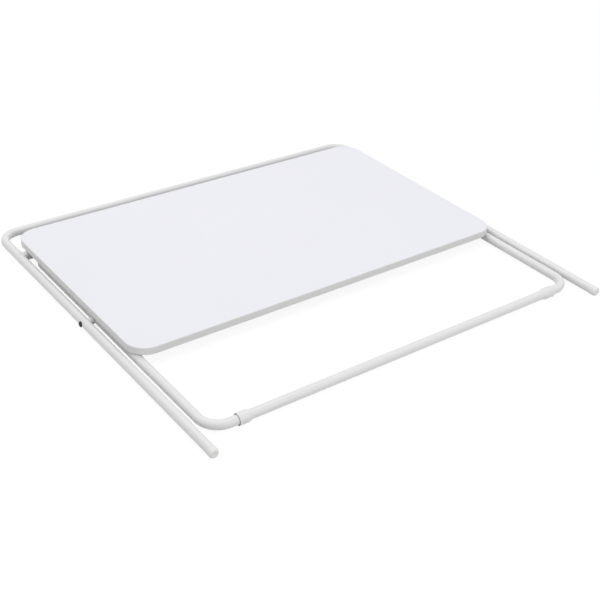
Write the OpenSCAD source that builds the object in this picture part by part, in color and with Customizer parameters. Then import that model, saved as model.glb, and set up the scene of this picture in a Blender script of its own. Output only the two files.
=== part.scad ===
// Low folding table with crossed tube legs, lying folded flat.
// Millimetres. X runs along the table's length, Y from its feet to its rail,
// Z up. The origin is under the middle of the folded table, on the surface
// that it lies on.

/* [Table top] */
// Length of the board
board_l = 880; // [720:5:1100]
// Depth of the board, from front edge to rear edge
board_w = 515; // [420:5:630]
// Thickness of the board
board_t = 15; // [12:0.5:22]
// Radius of the board's corners, seen from above
board_corner_r = 42; // [20:1:90]
// Radius of the board's top and bottom edges
board_edge_r = 1.2; // [0.5:0.1:2.5]
// Thickness of the edge band around the core
band_t = 1.5; // [0.6:0.1:3]

/* [Tube] */
// Outside diameter of the frame tube
tube_d = 18; // [14:0.5:22]
// Wall of the frame tube
tube_wall = 1.2; // [0.8:0.1:1.8]

/* [Outer frame] */
// Gap between the board's side edge and the outer leg
board_side_gap = 5; // [3:0.5:12]
// Gap between the board's rear edge and the rail
rail_gap = 39.9; // [20:0.1:80]
// Bend radius beside the rail, to the tube's centre
rail_bend_r = 40; // [30:1:70]
// Hinge tube's centre, in from the board's rear edge
hinge_inset = 56.5; // [40:0.5:80]
// Distance from the hinge tube to the pivot bolts
hinge_arm = 288; // [240:1:350]
// Length of a foot cap outside the tube
cap_l = 15; // [10:1:24]
// How far a foot cap stands out from the tube's surface
cap_proud = 0.3; // [0.1:0.1:1.5]
// Radius of a foot cap's rounded nose edge
cap_nose_r = 4; // [2:0.5:6]

/* [Inner frame] */
// Gap between the outer leg and the inner leg
leg_gap = 7.8; // [5:0.2:14]
// Distance from the hinge tube to the top bar when folded
bar_step = 29.5; // [26:0.5:40]
// Distance from the pivot bolts to the front foot tube
front_arm = 394.5; // [320:0.5:480]
// Bend radius at the ends of the top bar, to the tube's centre
bar_bend_r = 24; // [20:1:45]
// Bend radius at the ends of the front foot tube, to the tube's centre
front_bend_r = 38; // [26:1:46]
// Length of each swaged mouth on the front foot tube, with its taper
swage_l = 28; // [26:1:50]
// Length of the taper behind each swaged mouth
swage_taper_l = 10; // [6:1:12]
// Distance from the inner leg's centre to the swaged mouth
swage_inset = 52; // [50:1:90]
// How far the swaged mouth stands out from the tube's surface
swage_rise = 2.5; // [1.2:0.1:4]

/* [Pivot] */
// Diameter of the pivot bolt
bolt_d = 6; // [5:0.5:8]
// Radial play of the bolt in its holes
bolt_play = 0.05; // [0.02:0.01:0.1]
// Diameter of the bolt's domed head
head_d = 11; // [9:0.5:15]
// How far the domed head stands out from the leg
head_h = 2.6; // [2:0.2:7]
// Outside diameter of the plastic spacer
spacer_d = 14; // [11:0.5:17]
// Clearance between parts that move past each other
clearance = 0.3; // [0.2:0.05:0.6]

/* [Fittings] */
// Wall over the top bar in each glide
glide_wall = 0.9; // [0.6:0.1:2]
// Length of a glide along the top bar
glide_l = 40; // [20:1:60]
// Middle of a glide, in from the board's side edge
glide_inset = 190; // [160:5:280]
// Length of a hinge saddle along the hinge tube
saddle_l = 26; // [20:1:40]
// Middle of a hinge saddle, in from the board's side edge
saddle_inset = 90; // [70:5:100]
// Length of a catch along the top bar
catch_l = 26; // [20:1:34]
// Middle of a catch, in from the board's side edge
catch_inset = 130; // [110:5:150]
// Wall of the saddles and catches
fitting_wall = 3; // [2:0.5:4]
// Thickness of the screw flange on the saddles and catches
flange_t = 3; // [2:0.5:4]
// Diameter of the wood screws
screw_d = 3.5; // [3:0.5:4]
// How much of the board a wood screw leaves above its tip
screw_cover = 4; // [3:1:6]

/* [Folding] */
// Angle that the two frames open to
open_angle = 80; // [60:1:90]

/* [Hidden] */
$fn = 72;
// Overlap between solids that are joined, and reach of a cut past its faces
eps = 0.01;
cut = 1;

white_steel = [0.91, 0.91, 0.92];
white_plastic = [0.93, 0.93, 0.91];
board_white = [0.93, 0.93, 0.95];
band_grey = [0.84, 0.84, 0.86];
black_steel = [0.12, 0.12, 0.13];
zinc = [0.75, 0.76, 0.78];

tube_r = tube_d / 2;
bore_r = tube_r - tube_wall;
cap_r = tube_r + cap_proud;
cap_stem_l = 12;
swage_r = tube_r + swage_rise;
mouth_lip = 0.9;
mouth_bell_r = swage_r - mouth_lip;
mouth_bell_l = 14;
socket_stop = 10;
socket_l = swage_l - socket_stop;
axis_z = max(swage_r, cap_r);

// Along the table's length
leg_x = board_l / 2 + board_side_gap + tube_r;
inner_x = leg_x - tube_d - leg_gap;
mouth_x = inner_x - swage_inset;
glide_x = board_l / 2 - glide_inset;
saddle_x = board_l / 2 - saddle_inset;
catch_x = board_l / 2 - catch_inset;

// Across it, from the middle of the board: rail, hinge tube, top bar and
// pivot. The board lies level when the triangles over and under the pivot
// are alike, so the feet's length follows from the other arms.
rail_y = board_w / 2 + rail_gap + tube_r;
hinge_y = board_w / 2 - hinge_inset;
bar_y = hinge_y - bar_step;
pivot_y = hinge_y - hinge_arm;
front_y = pivot_y - front_arm;
bar_arm = bar_y - pivot_y;
open_reach = sqrt(pow(hinge_arm, 2) + pow(bar_arm, 2) - 2 * hinge_arm * bar_arm * cos(open_angle));
outer_sine = bar_arm * sin(open_angle) / open_reach;
inner_sine = hinge_arm * sin(open_angle) / open_reach;
standing_drop = (bar_arm + front_arm) * inner_sine + swage_r;
cap_drop = cap_nose_r + (cap_r - cap_nose_r) * sqrt(1 - pow(outer_sine, 2));
foot_arm = (standing_drop - cap_drop) / outer_sine + cap_nose_r - hinge_arm;
foot_y = pivot_y - foot_arm;
catch_y = hinge_y - open_reach;
// The frame is drawn about the middle of the board, then moved by this much
// so that the origin lies midway between the rail's back and the feet's tips.
shift_y = -(foot_y + rail_y + tube_r) / 2;

// Heights, from the tubes' centres up
glide_r = tube_r + bolt_play;
board_bottom = axis_z + glide_r + glide_wall + clearance;
board_rise = board_bottom - axis_z;
saddle_r = tube_r + clearance;
hook_r = saddle_r + fitting_wall;

head_rim_h = 0.8;
nut_wall = 2;
nut_af = bolt_d + 2 * nut_wall;
nut_l = 5.5;
nut_cap_wall = 1;
nut_dome_h = 3.5;
nut_shoulder = 0.4;
glide_side = 1.6;
glide_lip = 3;
flange_l = 18;
saddle_wrap = 40;
screw_l = board_t - screw_cover;
screw_head_d = 7;
screw_head_h = 2.2;
screw_pitch = 16;
saddle_screw_y = hinge_y + hook_r + flange_l / 2;
catch_screw_y = catch_y - hook_r - flange_l / 2;
function screw_x(row_x, slot) = row_x + (slot == "a" ? -1 : 1) * screw_pitch / 2;

// One straight run of round bar along +Y
module run_y(length, r) rotate([-90, 0, 0]) cylinder(h = length, r = r);

// One straight run of round bar along +X
module run_x(length, r) rotate([0, 90, 0]) cylinder(h = length, r = r);

// A quarter bend that starts at the origin heading +Y and turns towards +X
module bend(bend_r, r)
    translate([bend_r, 0, 0]) rotate([0, 0, 90])
        rotate_extrude(angle = 90) translate([bend_r, 0]) circle(r = r);

module both_sides() {
    children();
    mirror([1, 0, 0]) children();
}

// The left or the right one of a pair, drawn on the right
module on_side(side) {
    if (side == "left") mirror([1, 0, 0]) children();
    else children();
}

module placed(height = axis_z) translate([0, shift_y, height]) children();

// Outer frame: two long legs and the rail, one bent tube
module outer_path(r, extra) {
    bend_y = rail_y - rail_bend_r;
    end_y = foot_y + cap_l;
    both_sides() {
        translate([-leg_x, end_y - extra, 0]) run_y(bend_y - end_y + extra, r);
        translate([-leg_x, bend_y, 0]) bend(rail_bend_r, r);
    }
    translate([-leg_x + rail_bend_r, rail_y, 0]) run_x(2 * (leg_x - rail_bend_r), r);
}

module pivot_holes()
    translate([-leg_x - tube_d, pivot_y, 0]) run_x(2 * (leg_x + tube_d), bolt_d / 2 + bolt_play);

module outer_tube() color(white_steel) placed()
    difference() {
        outer_path(tube_r, 0);
        outer_path(bore_r, cut);
        pivot_holes();
    }

// Tube between the outer legs that the board hinges on, coped to fit them
module cross_tube() color(white_steel) placed()
    difference() {
        translate([-leg_x, hinge_y, 0]) run_x(2 * leg_x, tube_r);
        translate([-leg_x, hinge_y, 0]) run_x(2 * leg_x, bore_r);
        both_sides() translate([leg_x, hinge_y - tube_d, 0]) run_y(2 * tube_d, tube_r);
    }

// Rounded plug cap: a nose outside the tube and a stem inside it
module foot_cap(side) color(white_plastic) placed() on_side(side)
    translate([leg_x, foot_y, 0]) rotate([-90, 0, 0])
        rotate_extrude() {
            translate([0, cap_nose_r]) square([cap_r, cap_l - cap_nose_r]);
            square([cap_r - cap_nose_r, cap_nose_r + eps]);
            intersection() {
                translate([cap_r - cap_nose_r, cap_nose_r]) circle(r = cap_nose_r);
                square([cap_r, cap_nose_r + eps]);
            }
            translate([0, cap_l - eps]) square([bore_r, cap_stem_l + eps]);
        }

// A shallow dome of the given base radius and height, on the XY plane
module dome(base_r, height) {
    ball_r = (pow(base_r, 2) + pow(height, 2)) / (2 * height);
    intersection() {
        translate([0, 0, height - ball_r]) sphere(r = ball_r);
        cylinder(h = height, r = base_r);
    }
}

// Domed bolt that carries both legs, its head cupped to the outer leg
module pivot_bolt(side) color(black_steel) placed() on_side(side)
    translate([0, pivot_y, 0]) {
        shank_start = inner_x - tube_r - nut_l + nut_cap_wall;
        rim_x = leg_x + tube_r + head_rim_h;
        translate([shank_start, 0, 0]) run_x(leg_x + tube_r - shank_start, bolt_d / 2);
        difference() {
            union() {
                translate([leg_x, 0, 0]) run_x(rim_x - leg_x, head_d / 2);
                translate([rim_x, 0, 0]) rotate([0, 90, 0]) dome(head_d / 2, head_h - head_rim_h);
            }
            translate([leg_x, -head_d, 0]) run_y(2 * head_d, tube_r);
        }
    }

// Plastic spacer between the legs, cupped to the outer leg
module pivot_spacer(side) color(white_plastic) placed() on_side(side)
    difference() {
        translate([inner_x + tube_r + clearance, pivot_y, 0]) run_x(leg_gap + tube_r / 2, spacer_d / 2);
        translate([inner_x, pivot_y, 0]) run_x(leg_x - inner_x + tube_d, bolt_d / 2);
        translate([leg_x, pivot_y - tube_d, 0]) run_y(2 * tube_d, tube_r);
    }

// Hexagon cap nut on the inner side of the inner leg
module pivot_nut(side) color(zinc) placed() on_side(side)
    translate([inner_x - tube_r - clearance, pivot_y, 0]) rotate([0, -90, 0])
        difference() {
            union() {
                cylinder(h = nut_l, d = nut_af / cos(30), $fn = 6);
                translate([0, 0, nut_l]) dome(nut_af / 2 - nut_shoulder, nut_dome_h);
            }
            translate([0, 0, -cut]) cylinder(h = cut + nut_l - nut_cap_wall - clearance, d = bolt_d);
        }

// Inner frame: legs and top bar, one bent tube whose ends enter the front tube
module inner_path(r, extra) {
    back_y = bar_y - bar_bend_r;
    near_y = front_y + front_bend_r;
    end_x = mouth_x - socket_l;
    both_sides() {
        translate([-inner_x, near_y, 0]) run_y(back_y - near_y, r);
        translate([-inner_x, back_y, 0]) bend(bar_bend_r, r);
        translate([-inner_x, near_y, 0]) mirror([0, 1, 0]) bend(front_bend_r, r);
        translate([-inner_x + front_bend_r, front_y, 0]) run_x(inner_x - front_bend_r - end_x + extra, r);
    }
    translate([-inner_x + bar_bend_r, bar_y, 0]) run_x(2 * (inner_x - bar_bend_r), r);
}

module inner_tube() color(white_steel) placed()
    difference() {
        inner_path(tube_r, 0);
        inner_path(bore_r, cut);
        pivot_holes();
    }

// Front foot tube: straight, with a flared mouth swaged onto each end
module front_tube() color(white_steel) placed()
    translate([0, front_y, 0])
        difference() {
            union() {
                translate([-mouth_x + swage_l, 0, 0]) run_x(2 * (mouth_x - swage_l), tube_r);
                both_sides() {
                    translate([mouth_x - swage_l, 0, 0]) rotate([0, 90, 0])
                        cylinder(h = swage_taper_l, r1 = tube_r, r2 = swage_r);
                    translate([mouth_x - swage_l + swage_taper_l, 0, 0])
                        run_x(swage_l - swage_taper_l, swage_r);
                }
            }
            translate([-mouth_x - cut, 0, 0]) run_x(2 * (mouth_x + cut), bore_r);
            both_sides() {
                translate([mouth_x - socket_l, 0, 0]) run_x(socket_l + cut, tube_r);
                translate([mouth_x - mouth_bell_l, 0, 0]) rotate([0, 90, 0])
                    cylinder(h = mouth_bell_l, r1 = tube_r, r2 = mouth_bell_r);
            }
        }

// Plastic glide clipped over the top bar: the board slides on its flat top
module bar_glide(side) color(white_plastic) placed() on_side(side)
    translate([glide_x - glide_l / 2, bar_y, 0]) rotate([90, 0, 90])
        linear_extrude(glide_l) difference() {
            translate([-glide_r - glide_side, -glide_lip])
                square([2 * (glide_r + glide_side), glide_lip + glide_r + glide_wall]);
            circle(r = glide_r);
        }

// Outline of the board, seen from above, drawn inwards by inset
module board_outline(inset) {
    r = board_corner_r - inset;
    sx = board_l / 2 - board_corner_r;
    sy = board_w / 2 - board_corner_r;
    union() {
        for (x = [-sx, sx], y = [-sy, sy]) translate([x, y]) circle(r = r, $fn = 96);
        square([board_l - 2 * inset, board_w - 2 * board_corner_r], center = true);
        square([board_l - 2 * board_corner_r, board_w - 2 * inset], center = true);
    }
}

// Pilot holes for every wood screw
module screw_holes() both_sides() for (slot = ["a", "b"])
    for (row = [[saddle_x, saddle_screw_y], [catch_x, catch_screw_y]])
        translate([screw_x(row[0], slot), row[1], board_bottom - cut])
            cylinder(h = screw_l + cut, d = screw_d);

// Laminated core of the table top
module board_core() color(board_white) placed(0)
    difference() {
        translate([0, 0, board_bottom]) linear_extrude(board_t) board_outline(band_t);
        screw_holes();
    }

// Round bar of the edge radius all the way around the board at one height
module board_arris(z) translate([0, 0, z]) {
    sx = board_l / 2 - board_corner_r;
    sy = board_w / 2 - board_corner_r;
    for (x = [-1, 1]) {
        translate([x * (board_l / 2 - board_edge_r), -sy, 0]) run_y(2 * sy, board_edge_r);
        for (y = [-1, 1]) translate([x * sx, y * sy, 0])
            rotate([0, 0, x > 0 ? (y > 0 ? 0 : -90) : (y > 0 ? 90 : 180)])
                rotate_extrude(angle = 90)
                    translate([board_corner_r - board_edge_r, 0]) circle(r = board_edge_r, $fn = 24);
    }
    for (y = [-1, 1]) translate([-sx, y * (board_w / 2 - board_edge_r), 0]) run_x(2 * sx, board_edge_r);
}

// Edge band glued around the core, its outer edges rounded
module edge_band() color(band_grey) placed(0)
    difference() {
        union() {
            translate([0, 0, board_bottom + board_edge_r])
                linear_extrude(board_t - 2 * board_edge_r) board_outline(0);
            translate([0, 0, board_bottom]) linear_extrude(board_t) board_outline(board_edge_r);
            board_arris(board_bottom + board_edge_r);
            board_arris(board_bottom + board_t - board_edge_r);
        }
        translate([0, 0, board_bottom - cut]) linear_extrude(board_t + 2 * cut) board_outline(band_t);
    }

// Cross-section of a hinge saddle: Y to the right, tube's centre at the origin
module saddle_profile()
    difference() {
        union() {
            translate([-saddle_r * sin(saddle_wrap), 0]) square([saddle_r, board_rise]);
            square([hook_r, board_rise]);
            translate([saddle_r, board_rise - flange_t]) square([fitting_wall + flange_l, flange_t]);
        }
        circle(r = saddle_r);
        rotate(saddle_wrap) translate([-3 * saddle_r, -saddle_r]) square([3 * saddle_r, 2 * saddle_r]);
    }

// Cross-section of a catch: open towards +Y, its lip curls under the bar
module catch_profile()
    difference() {
        union() {
            intersection() {
                circle(r = hook_r);
                polygon([[0, 0], [0, 2 * hook_r], [-2 * hook_r, 2 * hook_r], [-2 * hook_r, -2 * hook_r]]);
            }
            translate([-hook_r, 0]) square([hook_r, board_rise]);
            translate([-hook_r - flange_l, board_rise - flange_t])
                square([flange_l + fitting_wall, flange_t]);
        }
        circle(r = saddle_r);
        translate([-2 * hook_r, board_rise]) square([4 * hook_r, hook_r]);
    }

// Screw holes through the flanges of one row of fittings
module flange_holes(row_x, y) placed(0) for (slot = ["a", "b"])
    translate([screw_x(row_x, slot), y, 0]) cylinder(h = board_bottom + cut, d = screw_d);

// Plastic saddle under the board that hooks over the hinge tube
module hinge_saddle(side) color(white_plastic) on_side(side)
    difference() {
        placed() translate([saddle_x - saddle_l / 2, hinge_y, 0]) rotate([90, 0, 90])
            linear_extrude(saddle_l) saddle_profile();
        flange_holes(saddle_x, saddle_screw_y);
    }

// Plastic catch under the board that the top bar snaps into when it stands
module catch(side) color(white_plastic) on_side(side)
    difference() {
        placed() translate([catch_x - catch_l / 2, catch_y, 0]) rotate([90, 0, 90])
            linear_extrude(catch_l) catch_profile();
        flange_holes(catch_x, catch_screw_y);
    }

// Pan-head wood screw driven up through a flange into the board
module wood_screw(side, row_x, slot, y) color(zinc) on_side(side)
    placed(board_bottom) translate([screw_x(row_x, slot), y, -flange_t]) {
        cylinder(h = flange_t + screw_l, d = screw_d);
        translate([0, 0, -screw_head_h]) cylinder(h = screw_head_h, d = screw_head_d);
    }

outer_tube();
cross_tube();
foot_cap("left");  // foot_cap_left
foot_cap("right");  // foot_cap_right
pivot_bolt("left");  // pivot_bolt_left
pivot_bolt("right");  // pivot_bolt_right
pivot_spacer("left");  // pivot_spacer_left
pivot_spacer("right");  // pivot_spacer_right
pivot_nut("left");  // pivot_nut_left
pivot_nut("right");  // pivot_nut_right
inner_tube();
front_tube();
bar_glide("left");  // bar_glide_left
bar_glide("right");  // bar_glide_right
board_core();
edge_band();
hinge_saddle("left");  // hinge_saddle_left
hinge_saddle("right");  // hinge_saddle_right
catch("left");  // catch_left
catch("right");  // catch_right
wood_screw("left", saddle_x, "a", saddle_screw_y);  // saddle_screw_left_a
wood_screw("left", saddle_x, "b", saddle_screw_y);  // saddle_screw_left_b
wood_screw("right", saddle_x, "a", saddle_screw_y);  // saddle_screw_right_a
wood_screw("right", saddle_x, "b", saddle_screw_y);  // saddle_screw_right_b
wood_screw("left", catch_x, "a", catch_screw_y);  // catch_screw_left_a
wood_screw("left", catch_x, "b", catch_screw_y);  // catch_screw_left_b
wood_screw("right", catch_x, "a", catch_screw_y);  // catch_screw_right_a
wood_screw("right", catch_x, "b", catch_screw_y);  // catch_screw_right_b
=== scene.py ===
import math

import bmesh
import bpy
from mathutils import Matrix, Vector


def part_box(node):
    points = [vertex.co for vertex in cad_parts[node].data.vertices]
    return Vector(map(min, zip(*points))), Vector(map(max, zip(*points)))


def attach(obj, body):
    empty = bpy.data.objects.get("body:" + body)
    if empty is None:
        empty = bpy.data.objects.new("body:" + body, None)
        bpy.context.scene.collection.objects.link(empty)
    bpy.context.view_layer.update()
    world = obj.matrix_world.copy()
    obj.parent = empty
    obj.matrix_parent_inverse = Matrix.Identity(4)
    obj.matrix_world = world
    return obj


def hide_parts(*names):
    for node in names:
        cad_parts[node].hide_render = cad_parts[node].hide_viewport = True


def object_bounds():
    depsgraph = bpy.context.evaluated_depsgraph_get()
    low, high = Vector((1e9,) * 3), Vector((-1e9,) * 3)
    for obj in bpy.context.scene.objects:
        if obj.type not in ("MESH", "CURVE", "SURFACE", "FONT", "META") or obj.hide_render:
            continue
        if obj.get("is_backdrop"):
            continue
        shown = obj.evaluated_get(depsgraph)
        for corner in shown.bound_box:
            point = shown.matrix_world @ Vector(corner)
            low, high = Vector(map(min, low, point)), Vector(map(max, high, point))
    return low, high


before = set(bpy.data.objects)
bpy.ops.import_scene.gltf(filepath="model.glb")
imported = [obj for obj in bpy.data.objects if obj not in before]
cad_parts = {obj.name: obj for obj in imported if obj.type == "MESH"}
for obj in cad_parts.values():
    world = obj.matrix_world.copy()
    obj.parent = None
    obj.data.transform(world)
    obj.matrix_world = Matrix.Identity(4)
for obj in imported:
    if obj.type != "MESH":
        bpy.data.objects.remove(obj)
cad_low, cad_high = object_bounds()

# The camera stands off the front left corner, about 2.3 metres from the middle
# of the folded table, and looks down on it at 32 degrees.
board_low, board_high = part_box("edge_band")
tube_low, tube_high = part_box("outer_tube")
table_middle = Vector((0, (board_low[1] + board_high[1]) / 2, (tube_low[2] + tube_high[2]) / 2))
camera_azimuth = math.radians(-37.69)
camera_elevation = math.radians(32.0)
camera_roll = math.radians(2.76)
camera_place = table_middle + Vector((-1.1635, -1.6541, 1.1187))
camera_data = bpy.data.cameras.new("camera")
camera_data.sensor_width = 36
camera_data.lens = 65.04
camera_data.clip_start = 0.05
camera = bpy.data.objects.new("camera", camera_data)
camera.matrix_world = (
    Matrix.Translation(camera_place)
    @ Matrix.Rotation(camera_azimuth, 4, "Z")
    @ Matrix.Rotation(math.pi / 2 - camera_elevation, 4, "X")
    @ Matrix.Rotation(camera_roll, 4, "Z")
)
bpy.context.scene.collection.objects.link(camera)
bpy.context.scene.camera = camera


# The frames are bent from mild steel tube and powder coated in satin white.
# The cured coat keeps a faint orange peel, and it is a shade thinner and
# glossier in soft clouds along the tube.


class Wire:
    """One output of a node: an expression on it adds Math nodes."""

    def __init__(self, recipe, socket):
        self.recipe = recipe
        self.socket = socket

    def __add__(self, other):
        return self.recipe.math("ADD", self, other)

    def __radd__(self, other):
        return self.recipe.math("ADD", other, self)

    def __sub__(self, other):
        return self.recipe.math("SUBTRACT", self, other)

    def __rsub__(self, other):
        return self.recipe.math("SUBTRACT", other, self)

    def __mul__(self, other):
        return self.recipe.math("MULTIPLY", self, other)

    def __rmul__(self, other):
        return self.recipe.math("MULTIPLY", other, self)

    def __truediv__(self, other):
        return self.recipe.math("DIVIDE", self, other)

    def clamp(self):
        return self.recipe.node("Clamp", {}, {"Value": self})


class Recipe:
    """A node tree that is written as expressions on its wires."""

    def __init__(self, tree):
        self.tree = tree

    def node(self, kind, settings, sockets, output=0):
        made = self.tree.nodes.new("ShaderNode" + kind)
        for setting, value in settings.items():
            setattr(made, setting, value)
        for socket, value in sockets.items():
            self.feed(made.inputs[socket], value)
        return Wire(self, made.outputs[output])

    def math(self, operation, first, second=0.0):
        return self.node("Math", {"operation": operation}, {0: first, 1: second})

    def feed(self, socket, value):
        if isinstance(value, Wire):
            self.tree.links.new(value.socket, socket)
        else:
            socket.default_value = value

    def background_ray(self):
        """1 for rays that should see the background, straight or reflected."""
        rays = ("Is Camera Ray", "Is Glossy Ray", "Is Transmission Ray")
        seen, mirrored, through = (self.node("LightPath", {}, {}, ray) for ray in rays)
        return (seen + mirrored + through).clamp()


class Finish(Recipe):
    """A material: constants on its shader, and wires that feed what varies."""

    def __init__(self, name, **constants):
        self.material = bpy.data.materials.new(name)
        self.material.use_nodes = True
        super().__init__(self.material.node_tree)
        self.shader = self.tree.nodes["Principled BSDF"]
        self.vary(**constants)

    def vary(self, **sockets):
        for socket, value in sockets.items():
            self.feed(self.shader.inputs[socket.replace("_", " ")], value)

    def place(self):
        """The point on the piece, in metres, in the table's own frame."""
        return self.node("TexCoord", {}, {}, "Object")

    def part(self, vector, axis):
        """One of a vector's three numbers, by its axis."""
        return self.node("SeparateXYZ", {}, {"Vector": vector}, axis)

    def grain(self, size, detail, roughness=0.5, stretch=(1, 1, 1)):
        """Noise from 0 to 1 whose lumps are about size metres across."""
        spot = self.node("VectorMath", {"operation": "MULTIPLY"}, {0: self.place(), 1: stretch})
        sockets = {"Vector": spot, "Scale": 1 / size, "Detail": detail, "Roughness": roughness}
        return self.node("TexNoise", {}, sockets)

    def blend(self, factor, first, second):
        """A colour between two, each of them a colour or a wire."""
        first, second = (end if isinstance(end, Wire) else (*end, 1) for end in (first, second))
        return self.node("Mix", {"data_type": "RGBA"}, {0: factor, 6: first, 7: second}, 2)

    def relief(self, height, depth, strength):
        """A bumped normal: height runs from 0 to 1 over depth metres."""
        return self.node("Bump", {}, {"Height": height, "Distance": depth, "Strength": strength})

    def coat(self, *nodes):
        """Gives the finish to CAD nodes, which keep their own shape."""
        for name in nodes:
            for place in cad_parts[name].material_slots:
                place.material = self.material


powder_coat = Finish("white_powder_coat", Specular_IOR_Level=0.5, Coat_Roughness=0.22)
cloud = powder_coat.grain(0.09, 3.0)
speck = powder_coat.grain(0.0016, 2.0)
peel = powder_coat.grain(0.0022, 3.0, 0.55)
thin = powder_coat.blend(speck, (0.775, 0.775, 0.781), (0.793, 0.793, 0.797))
powder_coat.vary(
    Base_Color=powder_coat.blend(cloud, thin, (0.820, 0.820, 0.822)),
    Roughness=0.30 + 0.08 * cloud + 0.05 * speck,
    Coat_Weight=0.25 + 0.2 * cloud,
    Normal=powder_coat.relief(peel, 0.00006, 0.5),
)
powder_coat.coat("outer_tube", "cross_tube", "inner_tube", "front_tube")


# The hinge tube is coped and welded between the long legs. Each weld is a
# narrow bead that follows the joint of the two tubes, with the small ripples
# of its passes, and is coated with the frame.


def piece_of(name, points, faces, finish, body):
    """A smooth piece from points and faces, finished and riding on its body."""
    mesh = bpy.data.meshes.new(name)
    mesh.from_pydata([tuple(point) for point in points], [], faces)
    mesh.polygons.foreach_set("use_smooth", [True] * len(mesh.polygons))
    mesh.materials.append(finish.material)
    piece = bpy.data.objects.new(name, mesh)
    bpy.context.scene.collection.objects.link(piece)
    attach(piece, body)
    return piece


def hoop(count, sides):
    """The faces of a closed hose of count rings, each with as many sides."""
    faces = []
    for ring in range(count):
        for side in range(sides):
            here, there = ring * sides, (ring + 1) % count * sides
            after = (side + 1) % sides
            faces.append((here + side, here + after, there + after, there + side))
    return faces


SIDES = {"left": -1, "right": 1}
tube_r = (tube_high[2] - tube_low[2]) / 2
leg_x = tube_high[0] - tube_r
tube_z = table_middle.z
bead_r = 0.0013
bead_steps = 144
bead_sides = 12
bead_ripples = 48
ripple_share = 0.1
hinge_low, hinge_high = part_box("cross_tube")
hinge_y = (hinge_low[1] + hinge_high[1]) / 2
for side, way in SIDES.items():
    points = []
    for step in range(bead_steps):
        turn = math.tau * step / bead_steps
        out = Vector((-way * abs(math.sin(turn)), 0, 0))
        around = Vector((0, math.sin(turn), math.cos(turn)))
        centre = Vector((way * leg_x, hinge_y, tube_z)) + tube_r * (out + around)
        face = (around - Vector((way, 0, 0))).normalized()
        along = Vector((0, math.cos(turn), -math.sin(turn)))
        across = along.cross(face).normalized()
        radius = bead_r * (1 + ripple_share * math.cos(bead_ripples * turn))
        for corner in range(bead_sides):
            angle = math.tau * corner / bead_sides
            points.append(centre + radius * (math.cos(angle) * face + math.sin(angle) * across))
    faces = hoop(bead_steps, bead_sides)
    piece_of(f"weld_bead_{side}", points, faces, powder_coat, "outer_frame")


# The front foot tube is swaged open at both ends to take the inner legs. The
# mouth's edge is rolled over, so a rounded lip shows around the leg's tube.


def turned(profile, base, heading, sides, closed=False):
    """Points and faces of (radius, height) pairs turned about a line that
    starts at base. A profile that isn't closed starts and ends on the line."""
    spin = Vector(heading).to_track_quat("Z", "Y")
    ring_pairs = profile if closed else profile[1:-1]
    points = []
    for radius, height in ring_pairs:
        for side in range(sides):
            angle = math.tau * side / sides
            spot = Vector((radius * math.cos(angle), radius * math.sin(angle), height))
            points.append(Vector(base) + spin @ spot)
    if closed:
        return points, hoop(len(ring_pairs), sides)
    last = (len(ring_pairs) - 1) * sides
    faces = [face for face in hoop(len(ring_pairs), sides) if max(face) - min(face) < 2 * sides]
    ends = len(points), len(points) + 1
    points += [Vector(base) + spin @ Vector((0, 0, profile[end][1])) for end in (0, -1)]
    for side in range(sides):
        after = (side + 1) % sides
        faces.append((ends[0], after, side))
        faces.append((ends[1], last + side, last + after))
    return points, faces


def rounded(middle_radius, middle_height, radius, start, stop, steps):
    """An arc of a profile. Its start and stop are in degrees: 0 is straight out
    from the line, and 90 is up along it."""
    arc = []
    for step in range(steps + 1):
        angle = math.radians(start + (stop - start) * step / steps)
        out, up = radius * math.cos(angle), radius * math.sin(angle)
        arc.append((middle_radius + out, middle_height + up))
    return arc


lip_r = 0.00045
lip_turn, lip_steps, lip_sides = 330, 11, 96
mouth_low, mouth_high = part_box("front_tube")
mouth_r = (mouth_high[2] - mouth_low[2]) / 2
mouth_y = mouth_low[1] + mouth_r
for side, way in SIDES.items():
    base = (way * mouth_high[0], mouth_y, mouth_low[2] + mouth_r)
    ring = rounded(mouth_r - lip_r, -lip_r / 2, lip_r, 0, lip_turn, lip_steps)
    points, faces = turned(ring, base, (way, 0, 0), lip_sides, closed=True)
    piece_of(f"mouth_lip_{side}", points, faces, powder_coat, "inner_frame")

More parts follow.
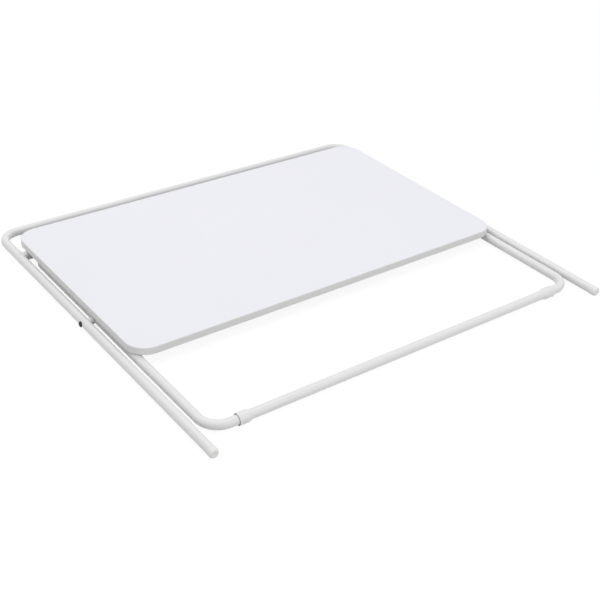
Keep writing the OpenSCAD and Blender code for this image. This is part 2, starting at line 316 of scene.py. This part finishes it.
# Nylon foot caps are pushed into the long legs. Each has a round nose with
# the dimple of its gate, a fine groove behind the nose, a collar that meets
# the tube's end, and a plug inside the tube.
nylon = Finish("white_nylon", Specular_IOR_Level=0.4)
spark = nylon.grain(0.0007, 2.0, 0.6)
flow = nylon.grain(0.012, 2.0)
nylon.vary(
    Base_Color=nylon.blend(flow, (0.84, 0.84, 0.835), (0.88, 0.88, 0.875)),
    Roughness=0.40 + 0.15 * spark,
    Normal=nylon.relief(spark, 0.00004, 0.6),
)
nose_r = 0.004
gate_r, gate_depth = 0.0012, 0.0003
groove, groove_depth = 0.0005, 0.00025
collar_l = 0.0026
collar_edge = 0.0003
tube_wall = 0.0012
stem_lead = 0.001
cap_sides = 72
nose_steps, edge_steps = 14, 4
for side, way in SIDES.items():
    low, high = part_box(f"foot_cap_{side}")
    cap_r = (high[2] - low[2]) / 2
    cap_l = tube_low[1] - low[1]
    stem_r = tube_r - tube_wall
    stem_end = high[1] - low[1]
    profile = [(0, gate_depth), (gate_r, gate_depth), (gate_r + gate_depth, 0)]
    profile += rounded(cap_r - nose_r, nose_r, nose_r, -90, 0, nose_steps)
    collar_h = cap_l - collar_l
    profile += [(cap_r, collar_h - groove), (cap_r - groove_depth, collar_h - groove / 2)]
    profile += [(cap_r, collar_h)]
    profile += rounded(cap_r - collar_edge, cap_l - collar_edge, collar_edge, 0, 90, edge_steps)
    profile += [(stem_r, cap_l), (stem_r, stem_end - stem_lead)]
    profile += [(stem_r - stem_lead, stem_end), (0, stem_end)]
    base = (way * leg_x, low[1], tube_z)
    points, faces = turned(profile, base, (0, 1, 0), cap_sides)
    cap = piece_of(f"cap_{side}", points, faces, nylon, "outer_frame")
    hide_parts(f"foot_cap_{side}")


# Each pivot is a button-head bolt of black oxide steel. Its head is formed to
# the leg's curve and has a hexagon socket. A turned nylon spacer keeps the
# legs apart, and a zinc plated cap nut closes the bolt on the inner leg.


def softened(node, name, edge, finish, body, steps=2):
    """A piece with the node's own shape and its sharp edges rounded by edge."""
    shape = bmesh.new()
    shape.from_mesh(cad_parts[node].data)
    same_spot, flat, corner = 1e-5, math.radians(0.5), math.radians(32)
    bmesh.ops.remove_doubles(shape, verts=shape.verts, dist=same_spot)
    bmesh.ops.dissolve_limit(shape, angle_limit=flat, verts=shape.verts, edges=shape.edges)
    sharp = [e for e in shape.edges if e.is_manifold and e.calc_face_angle() > corner]
    bmesh.ops.bevel(
        shape, geom=sharp, offset=edge, segments=steps, profile=0.5,
        affect="EDGES", clamp_overlap=True,
    )
    shape.verts.index_update()
    points = [vertex.co.copy() for vertex in shape.verts]
    faces = [[vertex.index for vertex in face.verts] for face in shape.faces]
    shape.free()
    piece = piece_of(name, points, faces, finish, body)
    piece.modifiers.new("even_shading", "WEIGHTED_NORMAL")
    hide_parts(node)
    return piece


black_oxide = Finish("black_oxide_steel", Metallic=0.6, Specular_IOR_Level=0.4)
bloom = black_oxide.grain(0.0025, 3.0, 0.6)
black_oxide.vary(
    Base_Color=black_oxide.blend(bloom, (0.020, 0.020, 0.022), (0.045, 0.044, 0.045)),
    Roughness=0.38 + 0.2 * bloom,
    Normal=black_oxide.relief(bloom, 0.00003, 0.3),
)
zinc = Finish("bright_zinc", Metallic=1.0)
mottle = zinc.grain(0.003, 4.0, 0.6)
zinc.vary(
    Base_Color=zinc.blend(mottle, (0.62, 0.63, 0.66), (0.74, 0.75, 0.76)),
    Roughness=0.28 + 0.22 * mottle,
)
bolt_sides = 72
dome_steps = 12
bolt_r = 0.003
bolt_chamfer = 0.0005
head_rim = 0.0008
flat_turn = math.tau / 6
nut_edge = 0.0004
socket_r, socket_depth = 0.002, 0.0014
socket_lip = 0.0006
socket_edge = 0.00012
for side, way in SIDES.items():
    low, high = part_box(f"pivot_bolt_{side}")
    inner_end, crown = sorted((abs(low[0]), abs(high[0])))
    head_r = (high[2] - low[2]) / 2
    seat = leg_x + tube_r - inner_end
    dome_h = crown - inner_end - seat - head_rim
    middle_y = (low[1] + high[1]) / 2
    profile = [(0, 0), (bolt_r - bolt_chamfer, 0), (bolt_r, bolt_chamfer)]
    seat_rings = len(profile) - 1, len(profile)
    profile += [(bolt_r, seat), (head_r, seat)]
    last_turn = math.acos((socket_r + socket_lip) / head_r)
    for step in range(dome_steps + 1):
        turn = last_turn * step / dome_steps
        profile.append((head_r * math.cos(turn), seat + head_rim + dome_h * math.sin(turn)))
    mouth_h = profile[-1][1] - socket_edge
    floor_h = mouth_h - socket_depth
    first_socket_ring = len(profile) - 1
    profile += [(socket_r + socket_edge, mouth_h), (socket_r, mouth_h - socket_edge)]
    profile += [(socket_r, floor_h + socket_edge), (socket_r - socket_edge, floor_h), (0, floor_h)]
    base = (way * inner_end, middle_y, tube_z)
    points, faces = turned(profile, base, (way, 0, 0), bolt_sides)
    for number, point in enumerate(points[:-2]):
        ring, spot = divmod(number, bolt_sides)
        if ring in seat_rings:
            point.x = way * (leg_x + math.sqrt(tube_r ** 2 - (point.z - tube_z) ** 2))
        if ring >= first_socket_ring:
            turn = (math.tau * spot / bolt_sides + flat_turn / 2) % flat_turn - flat_turn / 2
            point.y = middle_y + (point.y - middle_y) / math.cos(turn)
            point.z = tube_z + (point.z - tube_z) / math.cos(turn)
    bolt = piece_of(f"bolt_{side}", points, faces, black_oxide, "outer_frame")
    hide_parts(f"pivot_bolt_{side}")
    softened(f"pivot_nut_{side}", f"cap_nut_{side}", nut_edge, zinc, "outer_frame")
nylon.coat(*[f"pivot_spacer_{side}" for side in SIDES])

# The table top is particle board faced with white melamine. The pressed face
# has the fine pearl of a satin plate and a faint cool tint. The underside has
# a greyer backing foil, and the arris is scraped back a hair at the edge band.
melamine = Finish("white_melamine", Specular_IOR_Level=0.45)
sweep = melamine.grain(0.16, 2.0)
pearl = melamine.grain(0.0012, 3.0, 0.6)
facing = melamine.part(melamine.node("TexCoord", {}, {}, "Normal"), "Z")
under = (facing * -4.0 - 1.0).clamp()
fibre = melamine.grain(0.0009, 4.0, 0.7, (0.2, 1, 1))
foil = melamine.blend(fibre, (0.66, 0.655, 0.64), (0.74, 0.735, 0.72))
face = melamine.blend(sweep, (0.838, 0.840, 0.893), (0.854, 0.858, 0.905))
melamine.vary(
    Base_Color=melamine.blend(under, face, foil),
    Roughness=0.38 + 0.06 * sweep + 0.06 * pearl + 0.15 * under,
    Normal=melamine.relief(pearl, 0.00003, 0.4),
)
arris = 0.00012
softened("board_core", "board", arris, melamine, "table_top", 1)

# The edge band is a strip of off-white ABS glued round the board and trimmed
# flush. It is duller than the face, with faint lengthwise marks of the
# extruder, and its two ends meet in a hairline at the middle of the rear edge.
edge_strip = Finish("off_white_abs", Specular_IOR_Level=0.4)
along = edge_strip.grain(0.004, 3.0, 0.55, (0.15, 0.15, 1))
strip = edge_strip.blend(along, (0.755, 0.755, 0.755), (0.812, 0.812, 0.803))
spot = edge_strip.place()
off_middle = edge_strip.math("ABSOLUTE", edge_strip.part(spot, "X"))
rear = edge_strip.math("GREATER_THAN", edge_strip.part(spot, "Y"), table_middle.y)
joint_half, joint_shade = 0.00015, 0.7
butt = edge_strip.math("LESS_THAN", off_middle, joint_half) * rear
edge_strip.vary(
    Base_Color=edge_strip.blend(butt * joint_shade, strip, (0.45, 0.44, 0.42)),
    Roughness=0.42 + 0.12 * along,
    Normal=edge_strip.relief(along, 0.00004, 0.4),
)
edge_strip.coat("edge_band")

# Saddles, catches and glides are moulded in the same nylon as the caps, with
# softly rounded edges. The saddles and catches are screwed under the board,
# and the glides are clipped over the top bar.
moulded_edge, glide_edge = 0.0005, 0.0004
for side in SIDES:
    softened(f"hinge_saddle_{side}", f"saddle_{side}", moulded_edge, nylon, "table_top")
    softened(f"catch_{side}", f"catch_hook_{side}", moulded_edge, nylon, "table_top")
    softened(f"bar_glide_{side}", f"glide_{side}", glide_edge, nylon, "bar_glides")

# Pan-head wood screws hold the saddles and catches. The cold-headed heads
# have a cross recess whose four slots taper towards its middle.
screw_sides, screw_rings = 64, 18
pan_h, pan_crown = 0.0022, 0.75
screw_r, screw_point = 0.00175, 0.003
slot_half = 0.00042
slot_reach = 0.0019
slot_taper = 0.0003
slot_depth = 0.0012
for row, side, place in [(r, s, p) for r in ("saddle", "catch") for s in SIDES for p in "ab"]:
    node = f"{row}_screw_{side}_{place}"
    low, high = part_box(node)
    head_r = (high[0] - low[0]) / 2
    length = high[2] - low[2]
    profile = [(0, 0)]
    for ring in range(1, screw_rings + 1):
        share = ring / screw_rings
        profile.append((head_r * share, pan_h * pan_crown * (1 - math.sqrt(1 - share ** 4))))
    profile += [(head_r, pan_h), (screw_r, pan_h), (screw_r, length - screw_point), (0, length)]
    middle = Vector(((low[0] + high[0]) / 2, (low[1] + high[1]) / 2, low[2]))
    points, faces = turned(profile, middle, (0, 0, 1), screw_sides)
    for point in points:
        x, y = abs(point.x - middle.x), abs(point.y - middle.y)
        if point.z < middle.z + pan_h / 2:
            narrow = (slot_half + slot_taper - min(x, y)) / slot_taper
            short = (slot_reach + slot_taper - max(x, y)) / slot_taper
            point.z += slot_depth * max(0, min(1, narrow)) * max(0, min(1, short))
    screw = piece_of(f"screw_{row}_{side}_{place}", points, faces, zinc, "table_top")
    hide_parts(node)

# The studio floor is a disc of pale paper. It bounces light and holds the
# table's soft shadow, but stays half clear to the eye, so it fades into the
# white room at its rim and shows the legs when they open below it.
floor_r = 1.7
floor_sides = 96
floor_gap = 0.0002
seen_share = 0.40
rim = []
for corner in range(floor_sides):
    turn = math.tau * corner / floor_sides
    rim.append((floor_r * math.cos(turn), floor_r * math.sin(turn), 0))
floor_mesh = bpy.data.meshes.new("floor")
floor_mesh.from_pydata(rim, [], [range(floor_sides)])
floor = bpy.data.objects.new("floor", floor_mesh)
floor.location.z = cad_low[2] - floor_gap
bpy.context.scene.collection.objects.link(floor)
floor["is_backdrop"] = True
paper = Finish("floor_paper", Roughness=0.9, Specular_IOR_Level=0.1, Emission_Strength=1.0)
seen = paper.background_ray()
glow = paper.blend(seen, (0, 0, 0), (0.66, 0.66, 0.66))
paper.vary(Base_Color=(0.5, 0.5, 0.5, 1), Emission_Color=glow)
away = paper.node("VectorMath", {"operation": "LENGTH"}, {0: paper.place()}, "Value")
body_left = seen_share * (1.0 - away / floor_r).clamp()
shade_ray = paper.node("LightPath", {}, {}, "Is Shadow Ray")
solid_part = seen * body_left + (1.0 - seen) * (1.0 - shade_ray)
clear = paper.node("BsdfTransparent", {}, {})
body = Wire(paper, paper.shader.outputs[0])
mixed = paper.node("MixShader", {}, {0: solid_part, 1: clear, 2: body})
paper.feed(paper.tree.nodes["Material Output"].inputs["Surface"], mixed)
floor.data.materials.append(paper.material)

# The room is evenly white: it lights the table softly from all around, and
# shows as plain white behind it.
world = bpy.data.worlds.new("studio")
bpy.context.scene.world = world
world.use_nodes = True
room = Recipe(world.node_tree)
walls = room.node("Background", {}, {"Color": (1, 1, 1, 1), "Strength": 0.705})
backdrop = room.node("Background", {}, {"Color": (1, 1, 1, 1), "Strength": 1.0})
whole = room.node("MixShader", {}, {0: room.background_ray(), 1: walls, 2: backdrop})
room.feed(world.node_tree.nodes["World Output"].inputs["Surface"], whole)


# One wide soft box hangs over the table, a little to the rear, and evens out
# the board's face. A weaker one stands in front and lights the near edges.


def soft_box(name, place, aim, width, power):
    """A square area lamp at place, facing aim, with power in watts."""
    data = bpy.data.lights.new(name, "AREA")
    data.shape = "SQUARE"
    data.size = width
    data.energy = power
    lamp = bpy.data.objects.new(name, data)
    lamp.location = place
    lamp.rotation_euler = (Vector(aim) - Vector(place)).to_track_quat("-Z", "Y").to_euler()
    bpy.context.scene.collection.objects.link(lamp)


soft_box("overhead_box", (-0.1, 0.6, 2.35), table_middle, 2.6, 19.5)
soft_box("front_box", (0.3, -2.4, 1.0), table_middle, 1.4, 8.5)

# Colours show as they are written. The imported model's box is measured at the start, and the
# finished model's box is measured here.
bpy.context.scene.view_settings.view_transform = "Standard"
low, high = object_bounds()
